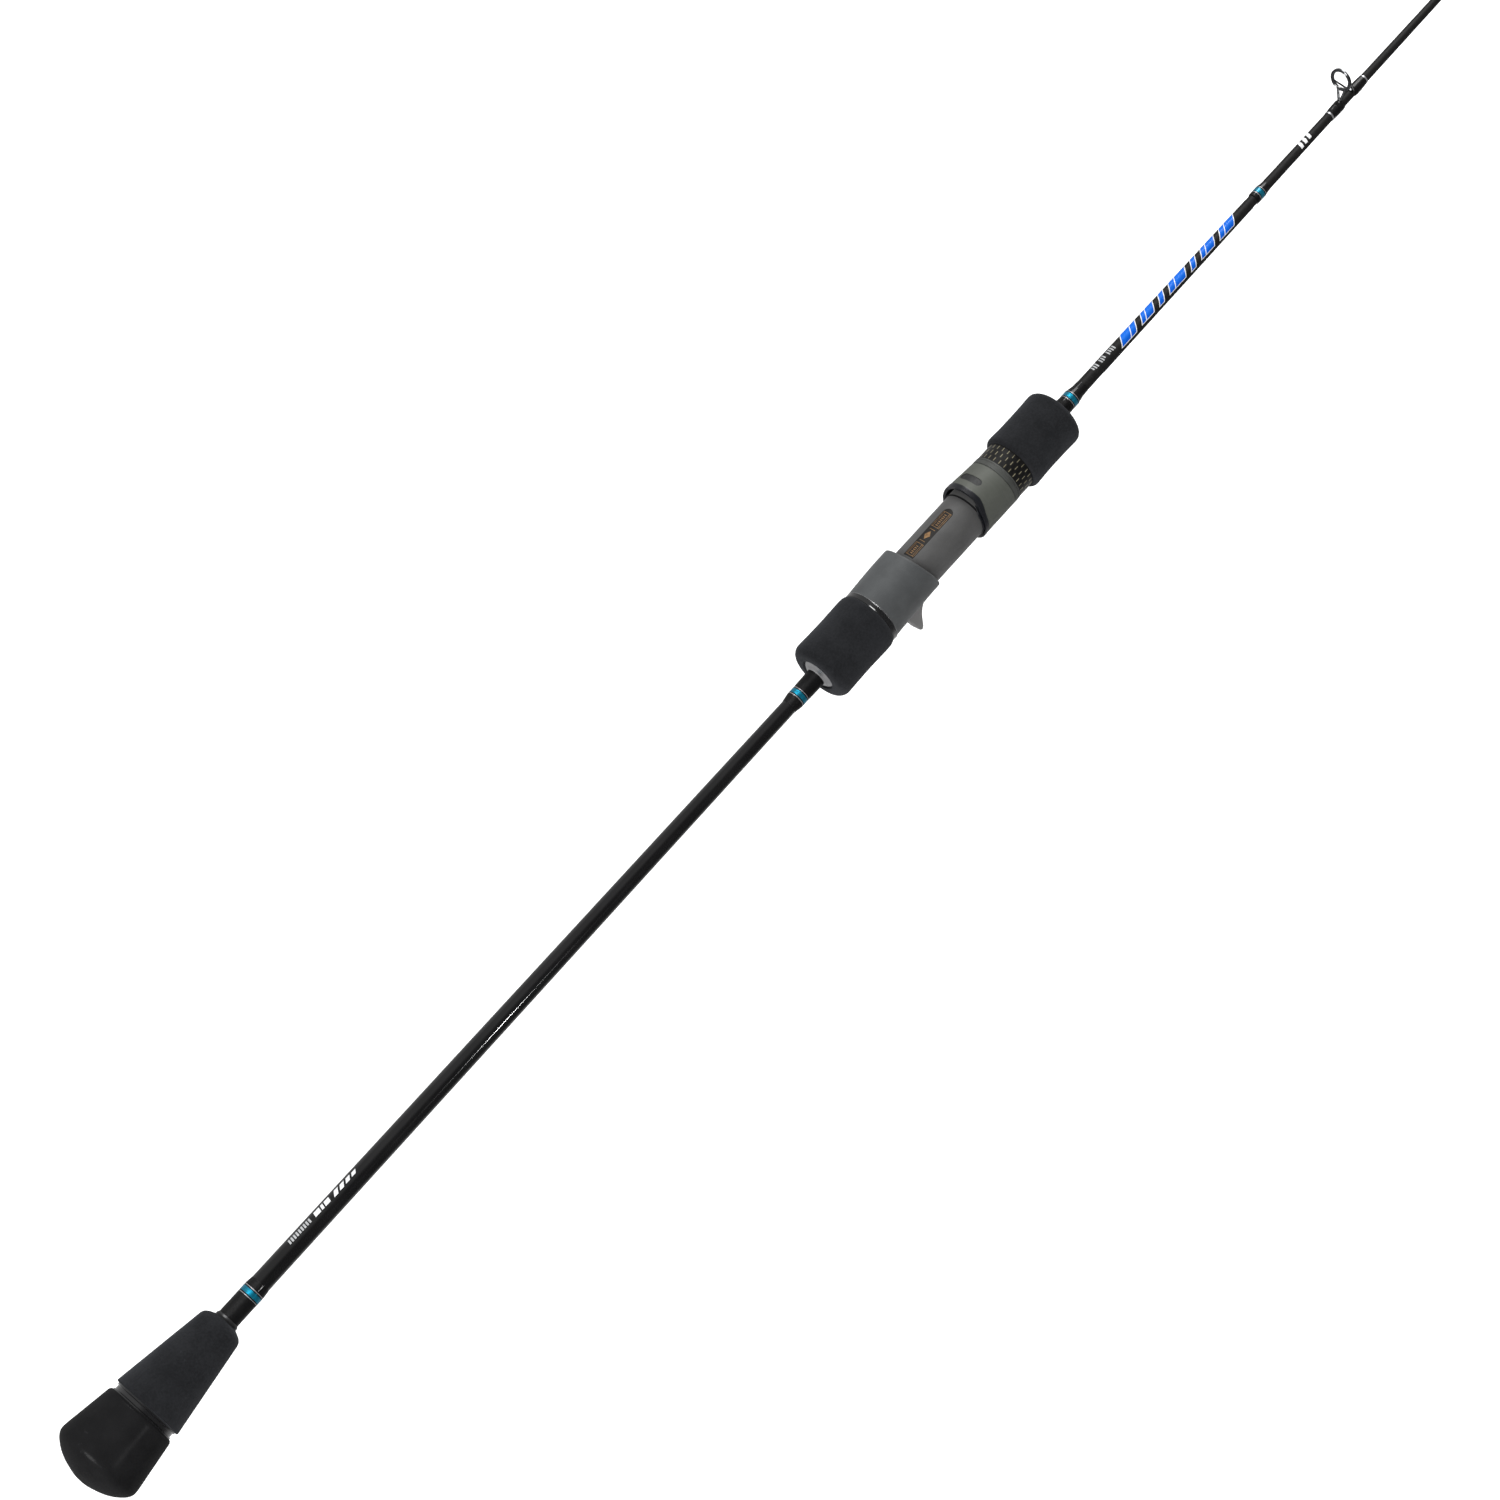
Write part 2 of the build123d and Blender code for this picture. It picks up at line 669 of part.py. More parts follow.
tip_x, tip_r, tip_z = TIP_TOP
tip_plane = Plane(origin=(tip_x, 0, tip_z), x_dir=along, z_dir=(0, -1, 0))
tip_axis = Axis((tip_x, 0, tip_z), along)
tip_seat = tip_r + 0.9
tip_rim = tip_r + 1.6

with BuildPart() as tip_top_ring:
    revolve(ring_profile(tip_plane, tip_r, tip_seat, 1.3, 0.25), axis=tip_axis)
save(tip_top_ring.part, "tip_top_ring")

with BuildPart() as tip_top_frame:
    revolve(ring_profile(tip_plane, tip_seat + 0.01, tip_rim, 1.1, 0.15), axis=tip_axis)
    # Closed tube over the end of the blank
    tube = [(1838, 1.15), (1838.2, 1.25), (1851, 1.25), (1852.6, 0.9), (1852.6, 0), (1838, 0)]
    revolve(outline(tube), axis=Axis.X)
    add(strut((1851, 0, 0.2), (tip_x - 0.6, 0, tip_z - (tip_seat + 0.3) * cos(lean)), 1.6, 0.9))
    for hand in (-1, 1):
        brace = strut((1842, hand * 0.5, 0.7), (tip_x - 0.3, hand * (tip_seat + 0.35), tip_z - 0.5), 0.8, 0.6)
        add(brace)
    inside = [
        (1830, 0),
        (1830, radius_at(TIP_BLANK, 1830) + GLUE),
        (1851, radius_at(TIP_BLANK, 1851) + GLUE),
        (1851, 0),
    ]
    revolve(outline(inside), axis=Axis.X, mode=Mode.SUBTRACT)
    revolve(ring_profile(tip_plane, 0, tip_seat + 0.01, 1.9, 0.2), axis=tip_axis, mode=Mode.SUBTRACT)
save(tip_top_frame.part, "tip_top_frame")
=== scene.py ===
import json
import math

import bmesh
import bpy
from mathutils import Matrix, Vector, noise

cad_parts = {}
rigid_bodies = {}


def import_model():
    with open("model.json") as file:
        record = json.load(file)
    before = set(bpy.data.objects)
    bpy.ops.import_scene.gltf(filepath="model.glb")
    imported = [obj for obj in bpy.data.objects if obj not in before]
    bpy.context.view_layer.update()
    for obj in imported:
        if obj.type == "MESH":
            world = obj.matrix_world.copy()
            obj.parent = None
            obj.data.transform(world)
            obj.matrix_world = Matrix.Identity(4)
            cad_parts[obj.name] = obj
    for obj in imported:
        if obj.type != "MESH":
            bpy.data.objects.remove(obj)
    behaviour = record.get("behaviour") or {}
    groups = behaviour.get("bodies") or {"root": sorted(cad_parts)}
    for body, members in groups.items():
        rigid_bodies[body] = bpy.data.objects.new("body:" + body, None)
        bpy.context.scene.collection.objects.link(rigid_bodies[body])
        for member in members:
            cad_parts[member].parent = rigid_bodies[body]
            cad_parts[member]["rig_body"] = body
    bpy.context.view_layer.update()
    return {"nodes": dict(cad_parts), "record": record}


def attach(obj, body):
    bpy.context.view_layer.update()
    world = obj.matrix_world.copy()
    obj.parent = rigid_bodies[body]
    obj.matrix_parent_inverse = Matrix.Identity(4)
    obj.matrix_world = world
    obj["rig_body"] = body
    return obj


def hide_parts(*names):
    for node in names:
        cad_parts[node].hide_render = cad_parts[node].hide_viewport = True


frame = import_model()
nodes = frame["nodes"]
scene = bpy.context.scene
MM = 0.001

# ---------------------------------------------------------------- camera

# The rod's axis runs up and to the right in the view, and away from the camera.
TURN = math.radians(40)  # how far the view is turned about the rod's axis, from straight above
AWAY = math.radians(16)  # how far the rod leans away along its axis
ROLL_COS, ROLL_SIN = 0.67526, 0.73758  # of the rod's angle in the picture
CAMERA_AT = Vector((0.0314, -0.9515, 1.1335))
LENS = 76.8
SENSOR = 36
NEAR, FAR = 0.05, 60  # nothing nearer or farther is drawn

toward = Vector((0, -math.sin(TURN), math.cos(TURN)))  # from the rod to the camera, square to the rod
along = math.cos(AWAY) * Vector((1, 0, 0)) + math.sin(AWAY) * toward
side = Vector((0, math.cos(TURN), math.sin(TURN)))
right = ROLL_COS * along - ROLL_SIN * side
up = ROLL_SIN * along + ROLL_COS * side
back = right.cross(up)

camera = bpy.data.objects.new("camera", bpy.data.cameras.new("camera"))
scene.collection.objects.link(camera)
camera.data.lens = LENS
camera.data.sensor_width = SENSOR
camera.data.clip_start = NEAR
camera.data.clip_end = FAR
camera.matrix_world = Matrix.Translation(CAMERA_AT) @ Matrix((right, up, back)).transposed().to_4x4()
scene.camera = camera
scene.view_settings.view_transform = "Standard"

# ---------------------------------------------------------------- materials

SOCKETS = {
    "color": "Base Color",
    "metallic": "Metallic",
    "rough": "Roughness",
    "specular": "Specular IOR Level",
    "coat": "Coat Weight",
    "coat_rough": "Coat Roughness",
    "sheen": "Sheen Weight",
    "sheen_rough": "Sheen Roughness",
    "sheen_tint": "Sheen Tint",
}


class Surface:
    """A procedural material: one principled shader and the nodes that feed it."""

    def __init__(self, name, **values):
        self.mat = bpy.data.materials.new(name)
        self.mat.use_nodes = True
        self.tree = self.mat.node_tree
        self.shader = self.tree.nodes["Principled BSDF"]
        for key, value in values.items():
            socket = self.shader.inputs[SOCKETS[key]]
            socket.default_value = (*value, 1) if isinstance(value, tuple) else value
        self.place = self.tree.nodes.new("ShaderNodeTexCoord").outputs["Object"]
        xyz = self.add("ShaderNodeSeparateXYZ", {0: self.place})
        self.x, self.y, self.z = xyz.outputs

    def add(self, kind, inputs=None, **props):
        node = self.tree.nodes.new(kind)
        for key, value in props.items():
            setattr(node, key, value)
        for key, value in (inputs or {}).items():
            if isinstance(value, bpy.types.NodeSocket):
                self.tree.links.new(value, node.inputs[key])
            else:
                node.inputs[key].default_value = value
        return node

    def math(self, operation, a, b=0.0, c=0.0):
        return self.add("ShaderNodeMath", {0: a, 1: b, 2: c}, operation=operation).outputs[0]

    def noise(self, size, detail=3.0, rough=0.5, stretch=(1, 1, 1)):
        """Noise with features of about the given size in metres."""
        place = self.add("ShaderNodeMapping", {"Vector": self.place, "Scale": stretch}).outputs[0]
        inputs = {"Vector": place, "Scale": 1 / size, "Detail": detail, "Roughness": rough}
        return self.add("ShaderNodeTexNoise", inputs).outputs[0]

    def cells(self, size):
        """Distance from the nearest point of a scatter with that spacing, in spacings."""
        return self.add("ShaderNodeTexVoronoi", {"Vector": self.place, "Scale": 1 / size}).outputs[0]

    def step(self, value, low, high):
        """0 below low, 1 above high, smooth between."""
        inputs = {"Value": value, "From Min": low, "From Max": high}
        return self.add("ShaderNodeMapRange", inputs, interpolation_type="SMOOTHSTEP").outputs[0]

    def between(self, value, low, high, soft):
        """1 where value lies between low and high."""
        rise = self.step(value, low - soft, low + soft)
        fall = self.step(value, high - soft, high + soft)
        return self.math("SUBTRACT", rise, fall)

    def blend(self, a, b, share):
        """Sum of two values, the first with that share and the second with the rest."""
        return self.math("ADD", self.math("MULTIPLY", a, share), self.math("MULTIPLY", b, 1 - share))

    def scale(self, value, low, high):
        """Spreads a value from 0 to 1 over low to high."""
        return self.add("ShaderNodeMapRange", {"Value": value, "To Min": low, "To Max": high}).outputs[0]

    def mix(self, share, a, b):
        a, b = ((*c, 1) if isinstance(c, tuple) else c for c in (a, b))
        node = self.add("ShaderNodeMix", data_type="RGBA")
        for key, value in (("Factor", share), ("A", a), ("B", b)):
            socket = next(s for s in node.inputs if s.name == key and s.enabled)
            if isinstance(value, bpy.types.NodeSocket):
                self.tree.links.new(value, socket)
            else:
                socket.default_value = value
        return next(s for s in node.outputs if s.enabled)

    def feed(self, key, value):
        self.tree.links.new(value, self.shader.inputs[SOCKETS[key]])

    def bump(self, *heights):
        """Bumps from (height, depth in metres) pairs, added together."""
        normal = None
        for height, depth in heights:
            inputs = {"Height": height, "Distance": depth, "Strength": 1.0}
            if normal:
                inputs["Normal"] = normal
            normal = self.add("ShaderNodeBump", inputs).outputs[0]
        self.tree.links.new(normal, self.shader.inputs["Normal"])

    def angle(self):
        """Angle about the rod's axis in radians, 0 on top."""
        return self.math("ARCTAN2", self.y, self.z)

    def threads(self, pitch):
        """Round ridges of a thread wound round the rod."""
        turns = self.math("MULTIPLY", self.x, 2 * math.pi / pitch)
        slant = self.math("ADD", turns, self.angle())
        return self.math("ABSOLUTE", self.math("SINE", self.math("MULTIPLY", slant, 0.5)))


def foam():
    """Closed-cell grip foam: fine grain, small pores darkened with painted shade, soft patches and pale
    scuffs.
    """
    s = Surface(
        "grip_foam", rough=0.95, specular=0.10, sheen=0.05, sheen_rough=0.6, sheen_tint=(0.85, 0.9, 1.0)
    )
    grain = s.noise(0.0011, 4, 0.62)
    patch = s.noise(0.011, 3, 0.55)
    shade = s.step(s.blend(grain, patch, 0.55), 0.32, 0.68)
    color = s.mix(shade, (0.0066, 0.0069, 0.0078), (0.0148, 0.0154, 0.0172))
    pores = s.step(s.cells(0.00085), 0.0, 0.30)
    # Painted shade: the colour darkens towards the middle of each pore, where the bump sinks a pit.
    color = s.mix(s.scale(pores, 0.45, 0.0), color, (0.0045, 0.0048, 0.0056))
    scuff = s.step(s.noise(0.0028, 4, 0.7, (0.35, 1, 1)), 0.66, 0.74)
    color = s.mix(s.math("MULTIPLY", scuff, 0.3), color, (0.045, 0.047, 0.052))
    s.feed("color", color)
    s.feed("rough", s.scale(grain, 0.82, 0.98))
    s.bump((pores, 0.00006), (grain, 0.00012), (s.noise(0.0004, 3), 0.00004))
    return s.mat


def rubber():
    """Dense dark rubber, a little polished by use, with pale scuffs."""
    s = Surface("butt_rubber", rough=0.75, specular=0.08, coat=0.10, coat_rough=0.25)
    grain = s.noise(0.0008, 4, 0.6)
    patch = s.noise(0.014, 4, 0.6)
    color = s.mix(s.step(patch, 0.3, 0.7), (0.0060, 0.0060, 0.0065), (0.0098, 0.0098, 0.0104))
    scuff = s.step(s.noise(0.003, 5, 0.7, (1, 0.5, 0.5)), 0.64, 0.74)
    color = s.mix(s.math("MULTIPLY", scuff, 0.25), color, (0.04, 0.04, 0.043))
    s.feed("color", color)
    s.feed("rough", s.scale(s.blend(grain, patch, 0.5), 0.62, 0.85))
    s.bump((grain, 0.00009), (s.cells(0.0006), 0.00003))
    return s.mat


def lacquer(name, color, rough, coat=1.0, specular=0.5, fine=0.00001):
    """Painted or moulded gloss with faint dust and hairline marks."""
    s = Surface(name, rough=rough, specular=specular, coat=coat, coat_rough=0.06)
    dust = s.noise(0.0018, 4, 0.65)
    haze = s.noise(0.02, 3, 0.5)
    s.feed("color", s.mix(s.step(haze, 0.3, 0.7), color, tuple(c * 1.5 for c in color)))
    s.feed("rough", s.scale(dust, rough * 0.7, rough * 1.5))
    hair = s.noise(0.0006, 2, 0.5, (1, 0.06, 0.06))
    s.bump((s.noise(0.006, 2, 0.4), fine * 2), (hair, fine))
    return s.mat


def blank(name, gloss_end=None):
    """Carbon blank: gloss lacquer up to gloss_end, then bare satin carbon with its tape's fine spiral."""
    tape_pitch = 0.0034
    s = Surface(name, specular=0.15, coat_rough=0.08)
    satin = s.step(s.x, gloss_end, gloss_end + 0.002) if gloss_end else 1.0
    haze = s.noise(0.006, 4, 0.6, (0.25, 1, 1))
    turn = s.math("MULTIPLY", s.angle(), 1 / (2 * math.pi))
    tape = s.math("FRACT", s.math("ADD", s.math("MULTIPLY", s.x, 1 / tape_pitch), turn))
    seam = s.between(tape, 0.44, 0.56, 0.05)
    weave = s.noise(0.0005, 3, 0.6, (0.2, 1, 1))
    dark = s.mix(s.step(haze, 0.3, 0.7), (0.0030, 0.0030, 0.0032), (0.0058, 0.0058, 0.0062))
    carbon = s.mix(s.step(weave, 0.3, 0.7), (0.0075, 0.0073, 0.0072), (0.0125, 0.0122, 0.0120))
    carbon = s.mix(s.math("MULTIPLY", seam, 0.22), carbon, (0.021, 0.021, 0.021))
    s.feed("color", s.mix(satin, dark, carbon))
    if gloss_end:
        s.feed("coat", s.math("SUBTRACT", 1.0, satin))
    glossy = s.scale(haze, 0.07, 0.13)
    dull = s.scale(weave, 0.46, 0.62)
    s.feed("rough", s.add("ShaderNodeMix", {0: satin, 2: glossy, 3: dull}).outputs[0])
    s.bump(
        (s.math("MULTIPLY", seam, satin), 0.000012),
        (s.math("MULTIPLY", weave, satin), 0.00001),
        (s.noise(0.012, 2, 0.4), 0.00003),
    )
    return s.mat


def thread(name, low, high, metallic, rough, pitch, coat=0.8):
    """Winding thread under clear epoxy, with painted shade in the grooves between its turns."""
    s = Surface(name, metallic=metallic, specular=0.1, coat=coat, coat_rough=0.07)
    ridge = s.threads(pitch)
    fibre = s.noise(0.0005, 3, 0.6, (2.5, 1, 1))
    # Painted shade: the colour is darkest in the grooves between turns and palest on their crests, blended
    # with the fibre's own tone.
    shade = s.blend(ridge, fibre, 0.7)
    s.feed("color", s.mix(s.step(shade, 0.2, 0.8), low, high))
    s.feed("rough", s.scale(fibre, rough * 0.7, rough * 1.3))
    s.bump((ridge, 0.00004), (s.noise(0.004, 2, 0.4), 0.00006))
    return s.mat


def brushed(name, low, high, rough, stretch, metallic=1.0, size=0.0012, coat=0.0):
    """Metal or metallic paint with fine turned or brushed lines."""
    s = Surface(name, metallic=metallic, coat=coat, coat_rough=0.15)
    lines = s.noise(size, 4, 0.6, stretch)
    haze = s.noise(0.005, 3, 0.55)
    shade = s.blend(lines, haze, 0.5)
    s.feed("color", s.mix(s.step(shade, 0.3, 0.7), low, high))
    s.feed("rough", s.scale(shade, rough * 0.75, rough * 1.3))
    s.bump((lines, 0.000012))
    return s.mat


def graphite():
    """Matte soft-touch paint over moulded nylon: warm grey barrel, cooler fixed hood, paler trigger."""
    s = Surface("seat_graphite", rough=0.55, specular=0.4, sheen=0.1, sheen_rough=0.4)
    speck = s.noise(0.0005, 3, 0.65)
    haze = s.noise(0.009, 4, 0.6)
    radius = s.math("SQRT", s.math("ADD", s.math("POWER", s.y, 2.0), s.math("POWER", s.z, 2.0)))
    patch = s.step(haze, 0.3, 0.7)
    barrel = s.mix(patch, (0.060, 0.0595, 0.0592), (0.072, 0.0715, 0.071))
    fixed_hood = s.mix(patch, (0.051, 0.054, 0.056), (0.063, 0.067, 0.069))
    color = s.mix(s.step(radius, 0.01245, 0.0127), barrel, fixed_hood)
    trigger = s.step(s.math("MULTIPLY", s.z, -1.0), 0.0145, 0.0175)
    color = s.mix(trigger, color, (0.165, 0.162, 0.161))
    color = s.mix(s.math("MULTIPLY", s.step(speck, 0.55, 0.75), 0.25), color, (0.13, 0.13, 0.13))
    s.feed("color", color)
    s.feed("rough", s.scale(speck, 0.46, 0.66))
    s.bump((speck, 0.00003), (s.noise(0.003, 3), 0.00002))
    return s.mat


def carbon_sleeve():
    """Coarse carbon weave under gloss: dark arched tows, each with a short pale brown painted highlight
    along its crest, staggered like bricks.
    """
    tows_round = 27
    column_start, column_width = 0.64595, 0.00342
    s = Surface("carbon_weave", rough=0.4, specular=0.15, coat=0.30, coat_rough=0.08)
    arc = s.math("MULTIPLY", s.angle(), tows_round / (2 * math.pi))
    column = s.math("MULTIPLY", s.math("SUBTRACT", s.x, column_start), 1 / column_width)
    half_step = s.math("MULTIPLY", s.math("MODULO", s.math("FLOOR", column), 2.0), 0.5)
    u = s.math("FRACT", column)
    v = s.math("FRACT", s.math("ADD", s.math("ADD", arc, 40.0), half_step))  # 40 keeps it above 0
    # A short band along each tow's crest, raised a little in the bump and coloured as a painted highlight.
    crest_highlight_band = s.math("MULTIPLY", s.between(u, 0.18, 0.82, 0.05), s.between(v, 0.435, 0.565, 0.03))
    fibre = s.noise(0.0004, 3, 0.6, (0.2, 1, 1))
    tow = s.mix(s.step(fibre, 0.3, 0.7), (0.003, 0.003, 0.003), (0.009, 0.0086, 0.008))
    # Pale brown painted highlight for the tow crests.
    crest_highlight_tint = s.mix(s.step(fibre, 0.3, 0.7), (0.13, 0.115, 0.075), (0.29, 0.265, 0.18))
    s.feed("color", s.mix(crest_highlight_band, tow, crest_highlight_tint))
    s.feed("rough", s.scale(fibre, 0.3, 0.5))
    arch = s.math("SINE", s.math("MULTIPLY", v, math.pi))
    s.bump((s.math("MAXIMUM", arch, crest_highlight_band), 0.00005))
    return s.mat


def insert():
    """Black moulded window with a fine raised grid, painted lighter on its raised parts and darker in its
    hollows as painted light and shade.
    """
    grid_pitch = 0.0009
    s = Surface("window_insert", rough=0.55, specular=0.3)
    waves = [s.math("SINE", s.math("MULTIPLY", axis, 2 * math.pi / grid_pitch)) for axis in (s.x, s.y)]
    grid = s.math("MULTIPLY", *waves)
    grain = s.noise(0.0006, 3, 0.6)
    # Painted light and shade: the grid's raised parts are coloured lighter and its hollows darker.
    s.feed("color", s.mix(s.step(grid, -0.2, 0.6), (0.0135, 0.014, 0.014), (0.021, 0.022, 0.022)))
    s.feed("rough", s.scale(grain, 0.35, 0.6))
    s.bump((grid, 0.00003), (grain, 0.00003))
    return s.mat


def ceramic():
    """Polished dark ceramic of the guide rings."""
    s = Surface("guide_ceramic", rough=0.12, specular=0.7)
    grain = s.noise(0.0007, 4, 0.6)
    s.feed("color", s.mix(s.step(grain, 0.3, 0.7), (0.016, 0.0165, 0.018), (0.030, 0.031, 0.034)))
    s.feed("rough", s.scale(grain, 0.08, 0.17))
    s.bump((grain, 0.000004))
    return s.mat


def ink(name, low, high, rough=0.35, metallic=0.0):
    """Printed or foiled mark with a slightly uneven lay."""
    s = Surface(name, metallic=metallic, coat=0.5, coat_rough=0.08)
    lay = s.noise(0.0012, 4, 0.6)
    s.feed("color", s.mix(s.step(lay, 0.25, 0.75), low, high))
    s.feed("rough", s.scale(lay, rough * 0.8, rough * 1.25))
    s.bump((lay, 0.000008))
    return s.mat


def blue_ink():
    """Blue print, with painted shade deepening it towards the sides and a painted highlight paling it on
    top.
    """
    s = Surface("decal_blue", specular=0.1, coat=0.25, coat_rough=0.08)
    lay = s.noise(0.0014, 4, 0.6)
    turned = s.math("ABSOLUTE", s.angle())
    # Painted shade on the sides and a painted highlight on top, by the angle round the rod.
    side_shade_blue = s.mix(s.step(lay, 0.25, 0.75), (0.002, 0.070, 0.46), (0.004, 0.105, 0.58))
    s.feed("color", s.mix(s.step(turned, 0.1, 1.1), (0.006, 0.140, 0.66), side_shade_blue))
    s.feed("rough", s.scale(lay, 0.22, 0.34))
    s.bump((lay, 0.000008))
    return s.mat


TURNED = (1, 0.05, 0.05)  # a stretch that makes long lines round the rod
EVEN = (1, 1, 1)

LOOKS = {
    "butt_rubber": rubber(),
    "grip_foam": foam(),
    "trim_gloss": lacquer("trim_gloss", (0.006, 0.006, 0.0065), 0.12),
    "liner_gloss": lacquer("liner_gloss", (0.0075, 0.0080, 0.0100), 0.30, coat=0.22, specular=0.25),
    "blank_gloss": blank("blank_gloss", gloss_end=0.6),
    "blank_satin": blank("blank_satin"),
    "spigot_carbon": brushed(
        "spigot_carbon", (0.012, 0.012, 0.013), (0.035, 0.035, 0.036), 0.5, TURNED, metallic=0.0
    ),
    "wrap_thread": thread(
        "wrap_thread", (0.0018, 0.0018, 0.0020), (0.0060, 0.0060, 0.0064),
        metallic=0.0, rough=0.45, pitch=0.00018, coat=0.35,
    ),
    "band_teal": thread(
        "band_teal", (0.0, 0.055, 0.11), (0.006, 0.31, 0.48), metallic=0.75, rough=0.3, pitch=0.00030
    ),
    "line_silver": thread(
        "line_silver", (0.09, 0.09, 0.095), (0.55, 0.55, 0.57), metallic=0.7, rough=0.35, pitch=0.00032
    ),
    "check_metal": brushed("check_metal", (0.42, 0.42, 0.43), (0.60, 0.60, 0.61), 0.25, TURNED),
    "seat_graphite": graphite(),
    "label_inlay": lacquer("label_inlay", (0.010, 0.009, 0.008), 0.4, coat=0.25, specular=0.2),
    "arbor_foam": brushed(
        "arbor_foam", (0.10, 0.085, 0.05), (0.17, 0.14, 0.09), 0.9, EVEN, metallic=0.0, size=0.0008
    ),
    "hood_metal": brushed(
        "hood_metal", (0.073, 0.078, 0.066), (0.087, 0.092, 0.079), 0.65, TURNED, metallic=0.2, coat=0.03
    ),
    "window_insert": insert(),
    "nut_plastic": lacquer("nut_plastic", (0.012, 0.012, 0.013), 0.4, coat=0.0),
    "collar_satin": brushed(
        "collar_satin", (0.044, 0.046, 0.042), (0.064, 0.067, 0.062), 0.55, TURNED, metallic=0.2
    ),
    "carbon_weave": carbon_sleeve(),
    "decal_print": blank("decal_print"),
    "guide_metal": brushed(
        "guide_metal", (0.105, 0.107, 0.112), (0.165, 0.168, 0.175), 0.17, EVEN, size=0.0008
    ),
    "guide_ceramic": ceramic(),
}
PRINTS = {
    "white": ink("print_white", (0.68, 0.69, 0.70), (0.86, 0.87, 0.88)),
    "pale": ink("print_pale", (0.34, 0.35, 0.36), (0.52, 0.53, 0.54)),
    "blue": blue_ink(),
    "copper": ink("print_copper", (0.17, 0.090, 0.036), (0.30, 0.170, 0.070), metallic=0.5),
}
DARK_CHECK = brushed("check_dark", (0.018, 0.018, 0.019), (0.035, 0.035, 0.036), 0.32, TURNED, metallic=0.5)

slot_of = {part["node"]: part["material_slot"] for part in frame["record"]["subparts"]}
for name, node in nodes.items():
    node.data.materials.clear()
    node.data.materials.append(DARK_CHECK if name == "butt_check" else LOOKS[slot_of[name]])

# ---------------------------------------------------------------- pieces made here


def on_rod(x, r, turn):
    """Place x mm along the rod and r mm out from its axis, turn radians round from the top towards +Y."""
    return (x * MM, r * MM * math.sin(turn), r * MM * math.cos(turn))


def value_at(line, at):
    """Value at a place on a line of (place, value) points whose places rise."""
    for (pa, va), (pb, vb) in zip(line, line[1:]):
        if at <= pb:
            return va + (vb - va) * (at - pa) / (pb - pa)
    return line[-1][1]


def skin(mesh, loops, around=False):
    """Faces between neighbouring loops of points, any of which may be one point. around joins the ends."""
    for one, two in zip(loops, loops[1:] + loops[:1] if around else loops[1:]):
        for i in range(max(len(one), len(two))):
            n = i + 1
            corners = (one[i % len(one)], one[n % len(one)], two[n % len(two)], two[i % len(two)])
            mesh.faces.new(list(dict.fromkeys(corners)))


def new_piece(name, mesh, look, body, smooth=True):
    """Makes a finished bmesh a piece that rides on a body."""
    data = bpy.data.meshes.new(name)
    mesh.to_mesh(data)
    mesh.free()
    for polygon in data.polygons:
        polygon.use_smooth = smooth
    data.materials.append(look)
    piece = bpy.data.objects.new(name, data)
    scene.collection.objects.link(piece)
    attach(piece, body)
    return piece


def smooth_line(points, step):
    """Points about a step apart on a smooth curve through the given (x, radius) points."""
    line = []
    for i in range(len(points) - 1):
        before = Vector(points[max(i - 1, 0)])
        a, b = Vector(points[i]), Vector(points[i + 1])
        after = Vector(points[min(i + 2, len(points) - 1)])
        count = max(1, round((b - a).length / step))
        for k in range(count):
            t = k / count
            spread = (
                2 * a + (b - before) * t + (2 * before - 5 * a + 4 * b - after) * t**2
                + (3 * a - before - 3 * b + after) * t**3
            )
            line.append(spread / 2)
    line.append(Vector(points[-1]))
    return line


FOAM_SIDES = 200
BORE = 6.5  # mm, a lathed piece is smooth inside this radius
FINE, COARSE = 0.6, 3.0  # mm between the points of a line that shows, and of one that doesn't


def lathed_foam(name, node, look, runs, grain):
    """Foam turned to a profile, with its surface's pebble in the mesh.

    Runs are smooth lines that meet at corners, each with its step. The pebble only goes inwards.
    """
    rim = []
    for run, step in runs:
        line = smooth_line(run, step)
        if rim and (rim[-1] - line[0]).length < 1e-6:
            line = line[1:]
        rim += line
    turns = [2 * math.pi * k / FOAM_SIDES for k in range(FOAM_SIDES)]
    mesh = bmesh.new()
    loops = [[mesh.verts.new(on_rod(x, r, turn)) for turn in (turns if r > 1e-6 else (0,))] for x, r in rim]
    skin(mesh, loops, around=len(loops[0]) > 1)
    bmesh.ops.recalc_face_normals(mesh, faces=mesh.faces)
    mesh.normal_update()
    most = 1.2 * grain
    shifts = []
    for v in mesh.verts:
        place = v.co / MM
        fine = noise.fractal(place * 1.1, 0.6, 2.0, 3) * grain
        broad = noise.noise(place * 0.09) * grain * 1.6
        shifts.append(v.normal * (min(fine + broad, most) - most) * MM)
    for v, shift in zip(mesh.verts, shifts):
        if v.co.yz.length / MM > BORE:
            v.co += shift
    piece = new_piece(name, mesh, look, nodes[node]["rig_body"])
    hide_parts(node)
    return piece


# Profiles are (x, radius) in mm
lathed_foam("butt_cap_rubber", "butt_cap", LOOKS["butt_rubber"], [
    ([(0, 0), (0.2, 3.1), (0.8, 6.1), (2.4, 11.5), (4.7, 16.1), (7.6, 19.8), (9.9, 21.5), (11.2, 21.88),
      (12.5, 21.95), (15, 21.7), (24, 20.35), (36, 18.55), (37.5, 18.2), (38.2, 17.75), (38.5, 17.2)], FINE),
    ([(38.5, 17.2), (38.5, 5.3), (8, 5.4), (8, 0)], COARSE),
], grain=0.012)
lathed_foam("butt_cone_foam", "butt_cone", LOOKS["grip_foam"], [
    ([(42.2, 5.3), (42.2, 17.5)], COARSE),
    ([(42.2, 17.5), (42.35, 17.9), (42.9, 18.15), (45, 17.86), (66, 14.72), (85, 11.87), (88.5, 11.3),
      (90.1, 10.5), (91.2, 9.2), (92, 7.6), (92.6, 6.2)], FINE),
    ([(92.6, 6.2), (92.6, 5.15)], COARSE),
], grain=0.02)
